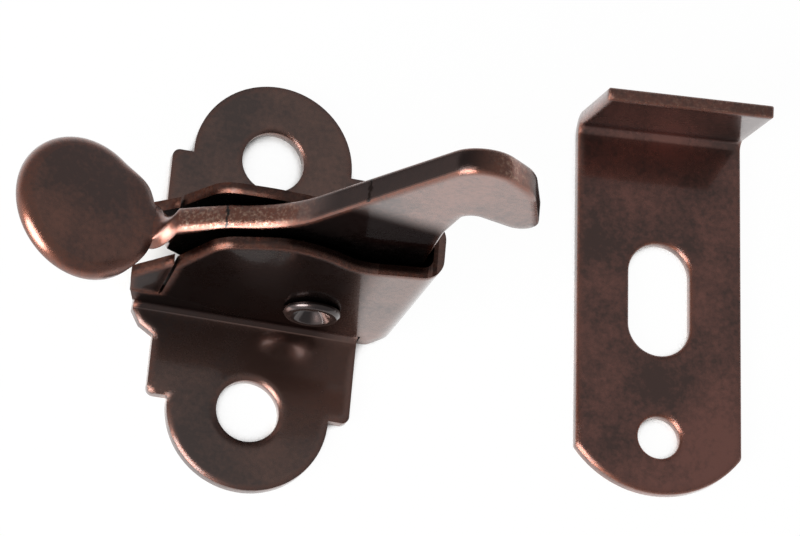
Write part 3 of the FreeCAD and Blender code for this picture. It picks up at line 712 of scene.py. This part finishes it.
@dataclass
class Lever(PressedPiece):
    """The bell crank: a flat stamping with a hook, a twisted neck and a round thumb paddle."""

    node: str = "lever"
    body: Body = Body.LEVER
    sheet_mm: float = 2.3
    rim_mm: float = 0.32
    flat_degrees: float = 0.1
    edge_fade: float = 1.6
    side_lean: float = 0.9
    rim_lean: Pair = (0.2, 0.97)
    worn_share: float = 0.8
    neck_start_mm: float = 10.3
    neck_middle_mm: float = 11.6
    neck_depth_mm: float = 5.0
    neck_length_mm: float = 2.0
    neck_width_mm: float = 3.7
    neck_twist_degrees: float = 84.0
    neck_root_mm: float = 0.6
    flare_depth_mm: float = 2.9
    flare_width_mm: float = 8.0
    flare_sheet_mm: float = 1.4
    flare_bend: float = 0.6
    paddle_centre_mm: Triple = (-18.6, 0.0, 13.5)
    paddle_radius_mm: float = 6.7
    paddle_sheet_mm: float = 1.9
    paddle_rim_mm: float = 1.15
    paddle_least_rim_mm: float = 0.02
    paddle_edge_mm: float = 0.3
    paddle_rise_degrees: float = 20.0
    paddle_crown_mm: float = 0.3
    paddle_crown_rings: tuple[float, ...] = (0.66, 0.33, 0.12)
    paddle_wear: float = 1.3
    shoulder_degrees: float = 26.0
    shoulder_fade_degrees: float = 32.0

    def _form(self) -> Object:
        """Makes the stamping and welds the neck and the paddle to it.

        Returns:
            The lever as one closed mesh.
        """
        piece = new_object(f"{self.node}_metal", self._plate())
        for add_end in (self._add_neck, self._add_paddle):
            mesh = bpy.data.meshes.new("lever_end")
            with edited(mesh) as shape:
                add_end(shape)
            end = new_object("lever_end", mesh)
            weld = piece.modifiers.new("one metal", "BOOLEAN")
            weld.operation = "UNION"
            weld.solver = "EXACT"
            weld.object = end
            bake_modifiers(piece)
            bpy.data.objects.remove(end)
        drop_slivers(piece.data)
        piece.data.shade_smooth()
        weigh_normals(piece)
        bake_modifiers(piece)
        return piece

    def _on_stamping(self, face: MeshPolygon) -> bool:
        """Tells the stamping from the neck and the paddle."""
        return face.center.x > -self.neck_start_mm * MM

    def _sheared(self, mesh: Mesh) -> list[float]:
        """Tells the stamping's cut edge from its flat sides and from the paddle."""
        return [max(0.0, 1 - self.edge_fade * abs(face.normal.y)) if self._on_stamping(face) else 0.0
                for face in mesh.polygons]

    def _painted_shade_share(self, face: MeshPolygon) -> float:
        """Marks the stamping's sides for painted shade, which fades from the channel to the hook's."""
        return float(self._on_stamping(face) and abs(face.normal.y) > self.side_lean)

    def _worn(self, face: MeshPolygon) -> float:
        """Tells how much the film is rubbed away on the rims of the stamping and of the paddle."""
        if self._on_stamping(face):
            low, high = self.rim_lean
            return self.worn_share if low < abs(face.normal.y) < high else 0.0
        local = self._paddle_turn().inverted() @ (face.center / MM - Vector(self.paddle_centre_mm))
        reach = self.paddle_wear * self.paddle_rim_mm
        inner = self.paddle_radius_mm - reach
        return min(max((math.hypot(local.x, local.y) - inner) / reach, 0.0), 1.0)

    def _plate(self) -> Mesh:
        """Fills the stamping's outline between its two flats, with rounded rims."""
        curve = bpy.data.curves.new("lever_outline", "CURVE")
        curve.dimensions = "2D"
        curve.fill_mode = "BOTH"
        curve.extrude = (self.sheet_mm / 2 - self.rim_mm) * MM
        curve.bevel_depth = self.rim_mm * MM
        curve.bevel_resolution = self.rim_segments
        curve.offset = -self.rim_mm * MM
        for border in flat_loops(bpy.data.objects[self.node].data, 1, self.sheet_mm / 2):
            run = curve.splines.new("POLY")
            run.points.add(len(border) - 1)
            for point, place in zip(run.points, border):
                point.co = (place.x, place.z, 0.0, 1.0)
            run.use_cyclic_u = True
        outline = new_object("lever_outline", curve)
        mesh = evaluated_mesh(outline)
        bpy.data.objects.remove(outline)
        bpy.data.curves.remove(curve)
        mesh.transform(Matrix.Rotation(math.radians(90), 4, "X"))
        with edited(mesh) as shape:
            bmesh.ops.remove_doubles(shape, verts=shape.verts, dist=WELD)
            bmesh.ops.dissolve_limit(shape, angle_limit=math.radians(self.flat_degrees),
                                     verts=shape.verts, edges=shape.edges)
        return mesh

    def _paddle_turn(self) -> Matrix:
        """Gives the turn from level to the paddle's own plane."""
        rise = math.radians(self.paddle_rise_degrees)
        roll = math.radians(90 - self.neck_twist_degrees)
        normal = Vector((math.sin(rise) * math.cos(roll), math.sin(roll), math.cos(rise) * math.cos(roll)))
        return Vector((0, 0, 1)).rotation_difference(normal).to_matrix().to_4x4()

    def _add_neck(self, shape: BMesh) -> None:
        """Runs the neck from the stamping to the paddle, twisting and then flaring.

        Args:
            shape: The mesh that takes the neck.
        """
        steps = 24
        centre = self.paddle_centre_mm
        slope = math.tan(math.radians(self.paddle_rise_degrees))
        runs = [-self.neck_root_mm]
        runs += [self.neck_length_mm * i / steps for i in range(steps + 1)]
        runs += [self.neck_length_mm + self.flare_depth_mm * ((i + 1) / steps) ** 2 for i in range(steps)]
        rings = []
        for run in runs:
            twist = min(max(run / self.neck_length_mm, 0.0), 1.0)
            x = -self.neck_start_mm - run
            paddle_z = centre[2] - slope * (x - centre[0])
            z = self.neck_middle_mm * (1 - twist) + paddle_z * twist
            width = self.neck_depth_mm + (self.neck_width_mm - self.neck_depth_mm) * math.sqrt(twist)
            depth = self.sheet_mm + (self.paddle_sheet_mm - self.sheet_mm) * twist
            flare = max(run - self.neck_length_mm, 0.0) / self.flare_depth_mm
            width += (self.flare_width_mm - self.neck_width_mm) * flare ** self.flare_bend
            depth += (self.flare_sheet_mm - self.paddle_sheet_mm) * flare
            turn = Matrix.Rotation(math.radians(self.neck_twist_degrees) * twist, 4, "X")
            place = Vector((x, 0.0, z))
            section = rounded_rectangle(depth, width, self.rim_mm)
            rings.append([shape.verts.new((place + turn @ Vector((0.0, y, up))) * MM) for y, up in section])
        bridge_rings(shape, rings)

    def _add_paddle(self, shape: BMesh) -> None:
        """Turns the paddle: a slightly crowned disc with a soft upper rim, sharp where the neck joins it.

        Args:
            shape: The mesh that takes the paddle.
        """
        half = self.paddle_sheet_mm / 2
        reach = self.paddle_radius_mm
        edge = self.paddle_edge_mm
        bends = 6
        around = 120
        turn = Matrix.Translation(Vector(self.paddle_centre_mm)) @ self._paddle_turn()
        spokes = []
        for k in range(around):
            angle = 2 * math.pi * k / around
            off_neck = math.degrees(min(angle, 2 * math.pi - angle))
            soft = (off_neck - self.shoulder_degrees) / self.shoulder_fade_degrees
            soft = min(max(soft, 0.0), 1.0)
            soft = soft * soft * (3 - 2 * soft)
            rim = max(self.paddle_rim_mm * soft, self.paddle_least_rim_mm)
            low = self.paddle_crown_mm * soft
            profile = [(reach - edge, -half), (reach, -half + edge)]
            for i in range(bends + 1):
                bend = math.pi / 2 * i / bends
                profile.append((reach - rim + rim * math.cos(bend), half - rim - low + rim * math.sin(bend)))
            for share in self.paddle_crown_rings:
                profile.append((reach * share, half - low * share ** 2))
            out = Vector((math.cos(angle), math.sin(angle), 0.0))
            spokes.append([turn @ (out * r + Vector((0, 0, z))) * MM for r, z in profile])
        rings = [[shape.verts.new(place) for place in ring] for ring in zip(*spokes)]
        bridge_rings(shape, rings)


@dataclass
class TorsionSpring:
    """The wire that holds the hook out: a coil on the rivet, a leg on the wall, a hook under the lever."""

    node: str = "torsion_spring"
    wire_mm: float = 0.4
    coil_radius_mm: float = 2.1
    pitch_mm: float = 0.43
    turns: float = 1.0
    gap_mm: float = 0.08
    join_mm: float = 0.02
    bend_points: int = 8
    coil_points: int = 64
    section_points: int = 16
    lever_sheet_mm: float = 2.3
    pivot_mm: Triple = (4.0, 0.0, 6.0)
    lever_foot_mm: Pair = (-0.4, 1.6)
    lever_neck_mm: Pair = (-10.3, 9.1)
    hook_place_mm: float = -6.0
    wall_edge_mm: Pair = (11.565, 1.4)
    wall_end_mm: float = 12.0

    def build(self, finish: Material) -> Object:
        """Makes the spring as one wire and puts it in the solid's place.

        Args:
            finish: The wire's material.

        Returns:
            The finished object.
        """
        piece = new_object(f"{self.node}_wire", bpy.data.meshes.new(f"{self.node}_wire"))
        wind = piece.modifiers.new("wound wire", "NODES")
        values = self._path()
        values |= {"Wire Radius": self.wire_mm / 2 * MM, "Coil Radius": self.coil_radius_mm * MM,
                   "Climb": self.pitch_mm * self.turns * MM, "Turns": self.turns, "Finish": finish}
        tree = self._winding(values)
        wind.node_group = tree
        for item in tree.interface.items_tree:
            if item.item_type == "SOCKET" and item.in_out == "INPUT":
                wind[item.identifier] = values[item.name]
        bake_modifiers(piece)
        bpy.data.node_groups.remove(tree)
        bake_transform(piece)
        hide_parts(self.node)
        return piece

    def _path(self) -> dict[str, Any]:
        """Works out the wire's corners and the coil's turn from what the spring bears on.

        Returns:
            The places along the wire in metres, and the turn of the coil's start.
        """
        clear = self.gap_mm + self.wire_mm / 2
        side = self.lever_sheet_mm / 2 + clear
        top = side + self.pitch_mm * self.turns
        neck_x, neck_z = self.lever_neck_mm
        foot_x, foot_z = self.lever_foot_mm
        slope = (neck_z - foot_z) / (neck_x - foot_x)
        edge = neck_z + slope * (self.hook_place_mm - neck_x)
        corner = Vector((self.hook_place_mm, side, edge - clear * math.hypot(1, slope)))
        wall = Vector((self.wall_edge_mm[0], 0.0, self.wall_edge_mm[1]))
        entry = self._tangent(corner, self.coil_radius_mm, -1)
        leave = self._tangent(wall, self.coil_radius_mm + clear, 1)
        rest = (entry - 2 * math.pi * self.turns - leave) % (2 * math.pi)
        coil_start = self._on_coil(entry, side)
        coil_end = self._on_coil(leave, top)
        along = (coil_start - corner).normalized()
        onward = Vector((math.sin(leave), 0.0, -math.cos(leave)))
        places = {
            "Hook End": Vector((corner.x, -self.lever_sheet_mm / 2, corner.z)),
            "Bend Start": corner - Vector((0.0, self.wire_mm, 0.0)),
            "Hook Corner": corner,
            "Bend End": corner + along * self.wire_mm,
            "Coil Start": coil_start,
            "Coil Centre": Vector(self.pivot_mm) + Vector((0.0, side, 0.0)),
            "Coil Top": Vector(self.pivot_mm) + Vector((0.0, top, 0.0)),
            "Coil End": coil_end,
            "Wall End": coil_end + onward * ((self.wall_end_mm - coil_end.x) / onward.x),
        }
        values: dict[str, Any] = {name: place * MM for name, place in places.items()}
        values["Start Angle"] = entry
        values["Rest Angle"] = entry - 2 * math.pi * self.turns
        values["Rest Turns"] = rest / (2 * math.pi)
        return values

    def _on_coil(self, angle: float, side: float) -> Vector:
        """Gives the place on the coil at an angle about the pivot and a distance along it."""
        reach = Vector((math.cos(angle), 0.0, math.sin(angle))) * self.coil_radius_mm
        return Vector(self.pivot_mm) + reach + Vector((0.0, side, 0.0))

    def _tangent(self, point: Vector, reach: float, side: int) -> float:
        """Gives the angle on a circle about the pivot from which a straight wire runs to a point."""
        across = point - Vector(self.pivot_mm)
        return math.atan2(across.z, across.x) + side * math.acos(reach / math.hypot(across.x, across.z))

    def _winding(self, values: dict[str, Any]) -> Tree:
        """Builds the tree that lays the wire's line piece by piece and gives it its thickness.

        Args:
            values: What the tree's inputs are named after.

        Returns:
            The tree, with a named input for each value.
        """
        tree = bpy.data.node_groups.new("wound_wire", "GeometryNodeTree")
        tree.interface.new_socket("Wire", in_out="OUTPUT", socket_type="NodeSocketGeometry")
        for name, value in values.items():
            kind = {float: "Float", Vector: "Vector"}.get(type(value), "Material")
            tree.interface.new_socket(name, in_out="INPUT", socket_type=f"NodeSocket{kind}")
        given = add_node(tree, "NodeGroupInput").outputs

        runs = []
        for start, end in (("Hook End", "Bend Start"), ("Bend End", "Coil Start"), ("Coil End", "Wall End")):
            runs.append(add_node(tree, "GeometryNodeCurvePrimitiveLine", {
                "Start": given[start], "End": given[end]}).outputs["Curve"])
        runs.append(add_node(tree, "GeometryNodeCurveQuadraticBezier", {
            "Resolution": self.bend_points, "Start": given["Bend Start"], "Middle": given["Hook Corner"],
            "End": given["Bend End"]}).outputs["Curve"])
        runs.append(self._coil(tree, given, "Start Angle", "Turns", "Climb", "Coil Centre"))
        runs.append(self._coil(tree, given, "Rest Angle", "Rest Turns", None, "Coil Top"))

        joined = add_node(tree, "GeometryNodeJoinGeometry")
        for run in runs:
            tree.links.new(run, joined.inputs["Geometry"])
        line = add_node(tree, "GeometryNodeCurveToMesh", {"Curve": joined.outputs["Geometry"]})
        line = add_node(tree, "GeometryNodeMergeByDistance", {
            "Geometry": line.outputs["Mesh"], "Distance": self.join_mm * MM})
        line = add_node(tree, "GeometryNodeMeshToCurve", {"Mesh": line.outputs["Geometry"]})
        section = add_node(tree, "GeometryNodeCurvePrimitiveCircle", {
            "Resolution": self.section_points, "Radius": given["Wire Radius"]})
        wire = add_node(tree, "GeometryNodeCurveToMesh", {
            "Curve": line.outputs["Curve"], "Profile Curve": section.outputs["Curve"], "Fill Caps": True})
        smooth = add_node(tree, "GeometryNodeSetShadeSmooth", {"Geometry": wire.outputs["Mesh"]})
        real = add_node(tree, "GeometryNodeRealizeInstances", {"Geometry": smooth.outputs["Geometry"]})
        dressed = add_node(tree, "GeometryNodeSetMaterial", {
            "Geometry": real.outputs["Geometry"], "Material": given["Finish"]})
        add_node(tree, "NodeGroupOutput", {"Wire": dressed.outputs["Geometry"]})
        return tree

    def _coil(self, tree: Tree, given: NodeOutputs, angle: str, turns: str, climb: str | None,
              centre: str) -> Socket:
        """Lays one run of the coil, which winds clockwise as seen from the near side.

        Args:
            tree: The tree that takes the nodes.
            given: The tree's inputs.
            angle: Input with the angle at which the run starts.
            turns: Input with the number of turns.
            climb: Input with the advance along the pivot, or none for a flat run.
            centre: Input with the run's centre.

        Returns:
            The run's line.
        """
        spiral = add_node(tree, "GeometryNodeCurveSpiral", {
            "Resolution": self.coil_points, "Rotations": given[turns], "Start Radius": given["Coil Radius"],
            "End Radius": given["Coil Radius"], "Height": given[climb] if climb else 0.0, "Reverse": True})
        upright = add_node(tree, "GeometryNodeTransform", {
            "Geometry": spiral.outputs["Curve"], "Rotation": (-math.pi / 2, 0.0, 0.0)})
        back = add_node(tree, "ShaderNodeMath", {0: given[angle], 1: -1.0}, operation="MULTIPLY")
        swing = add_node(tree, "ShaderNodeCombineXYZ", {"Y": back.outputs[0]})
        turned = add_node(tree, "GeometryNodeTransform", {
            "Geometry": upright.outputs["Geometry"], "Translation": given[centre],
            "Rotation": swing.outputs["Vector"]})
        return turned.outputs["Geometry"]


# Studio


@dataclass(frozen=True)
class PhotoCamera:
    """The camera that took the picture: its place, the way it looks and which way is up in it."""

    place_mm: Triple = (-69.83, -141.48, 381.74)
    forward: Triple = (0.19880, 0.34969, -0.91553)
    upward: Triple = (-0.16296, 0.93297, 0.32096)
    focal_pixels: float = 4504.5
    picture_pixels: float = 800.0
    clip_mm: Pair = (10.0, 20000.0)

    def build(self) -> None:
        """Adds the camera and makes it the scene's own."""
        data = bpy.data.cameras.new("photo_camera")
        data.sensor_fit = "HORIZONTAL"
        data.lens = data.sensor_width * self.focal_pixels / self.picture_pixels
        data.clip_start = self.clip_mm[0] * MM
        data.clip_end = self.clip_mm[1] * MM
        camera = new_object("photo_camera", data)
        back = -Vector(self.forward).normalized()
        right = Vector(self.upward).cross(back).normalized()
        up = back.cross(right)
        turn = Matrix((right, up, back)).transposed().to_4x4()
        camera.matrix_world = Matrix.Translation(Vector(self.place_mm) * MM) @ turn
        bpy.context.scene.camera = camera


@dataclass(frozen=True)
class SoftLamp:
    """A soft box: where it stands, what it aims at, how large it is and how strong."""

    name: str
    place_mm: Triple
    aim_mm: Triple
    width_mm: float
    watts: float

    def build(self) -> None:
        """Adds the lamp and turns it to its aim."""
        data = bpy.data.lights.new(self.name, "AREA")
        data.shape = "DISK"
        data.size = self.width_mm * MM
        data.energy = self.watts
        place = Vector(self.place_mm) * MM
        turn = (Vector(self.aim_mm) * MM - place).to_track_quat("-Z", "Y")
        lamp = new_object(self.name, data)
        lamp.matrix_world = Matrix.Translation(place) @ turn.to_matrix().to_4x4()


@dataclass
class Studio:
    """White paper in a dim room, with a bright window to the left and a soft lamp before it."""

    floor_mm: float = 6000.0
    floor_gap_mm: float = 0.02
    window_light: str = "#FFFFFF"
    wall_light: str = "#9A9A9C"
    ceiling_light: str = "#9E9E9E"
    window_side: Triple = (-0.80, -0.60, 0.0)
    window_range: Pair = (0.5, 0.9)
    ceiling_range: Pair = (0.35, 0.8)
    lamps: tuple[SoftLamp, ...] = (
        SoftLamp("key_lamp", (-360.0, -300.0, 240.0), (15.0, 0.0, 5.0), width_mm=420.0, watts=6.0),
    )

    def build(self) -> None:
        """Builds the floor, the room's light and the lamps."""
        self._lay_floor()
        self._light_room()
        for lamp in self.lamps:
            lamp.build()

    def _lay_floor(self) -> None:
        """Lays the paper just under the pieces."""
        half = self.floor_mm / 2 * MM
        under = -self.floor_gap_mm * MM
        mesh = bpy.data.meshes.new("floor")
        corners = [(-half, -half, under), (half, -half, under), (half, half, under), (-half, half, under)]
        mesh.from_pydata(corners, [], [(0, 1, 2, 3)])
        mesh.materials.append(WhitePaper().build())
        new_object("floor", mesh)

    def _light_room(self) -> None:
        """Makes the room grey, with white light from the window's side."""
        world = bpy.data.worlds.new("studio_room")
        world.use_nodes = True
        tree = world.node_tree
        tree.nodes.clear()
        way = add_node(tree, "ShaderNodeTexCoord").outputs["Generated"]
        height = add_node(tree, "ShaderNodeSeparateXYZ", {"Vector": way}).outputs["Z"]
        facing = add_node(tree, "ShaderNodeVectorMath", {
            0: way, 1: self.window_side}, operation="DOT_PRODUCT").outputs["Value"]
        colour: Any = linear(self.wall_light)
        areas = ((facing, self.window_range, self.window_light),
                 (height, self.ceiling_range, self.ceiling_light))
        for run, (low, high), light in areas:
            share = add_node(tree, "ShaderNodeMapRange", {
                "Value": run, "From Min": low, "From Max": high}, interpolation_type="SMOOTHSTEP")
            colour = add_node(tree, "ShaderNodeMix", {
                0: share.outputs["Result"], 6: colour, 7: linear(light)}, data_type="RGBA").outputs[2]
        light = add_node(tree, "ShaderNodeBackground", {"Color": colour, "Strength": 1.0})
        add_node(tree, "ShaderNodeOutputWorld", {"Surface": light.outputs["Background"]})
        bpy.context.scene.world = world


def main() -> None:
    """Builds the studio and every piece in order."""
    logging.basicConfig(level=logging.INFO, format="%(name)s: %(message)s")
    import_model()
    bpy.context.scene.view_settings.view_transform = "Standard"
    PhotoCamera().build()
    Studio().build()

    copper = AntiqueCopper(film_dark="#5A423C", film_warm="#98655A")
    # The lever's copy: nicks, rubbed spans, and painted shade on its sides between the walls.
    nicked = AntiqueCopper(
        name="antique_copper_plate_nicked", painted_shade=PaintedShadeFilm(end_mm=(11.5, 14.5), top_mm=(26.0, 30.0)),
        bare_spans_mm=((-14.0, -0.5), (11.5, 15.5)), nick_places_mm=(-6.5, 3.6))
    # The bracket's copy, greyer, with painted shade inside its channel and on its walls.
    shaded = AntiqueCopper(
        name="antique_copper_plate_shaded", film_dark="#5F504C", film_warm="#86675D", painted_shade=PaintedShadeFilm())
    # The rivet's copy is darker all over, painted shade for its hollow, with narrower soft rims.
    darkened_rivet_copper = AntiqueCopper(
        name="antique_copper_plate_rivet_shade", film_dark="#2E2626", film_warm="#3A2D2A", rubbed="#5A453D",
        rim_reach_mm=0.2)
    pieces = [
        (Bracket(), shaded),
        (Lever(), nicked),
        (PressedPiece("pivot_rivet", Body.BASE, sheet_mm=8.0, rim_mm=0.1, worn_share=0.15), darkened_rivet_copper),
        (PressedPiece("strike_plate", Body.BASE, sheet_mm=1.2, rim_mm=0.45, bare_share=0.5), copper),
        (TorsionSpring(), DrawnSpringSteel()),
    ]
    for piece, finish in pieces:
        made = piece.build(finish.build())
        log.info("%s: %d faces", made.name, len(made.data.polygons))


if __name__ == "__main__":
    main()
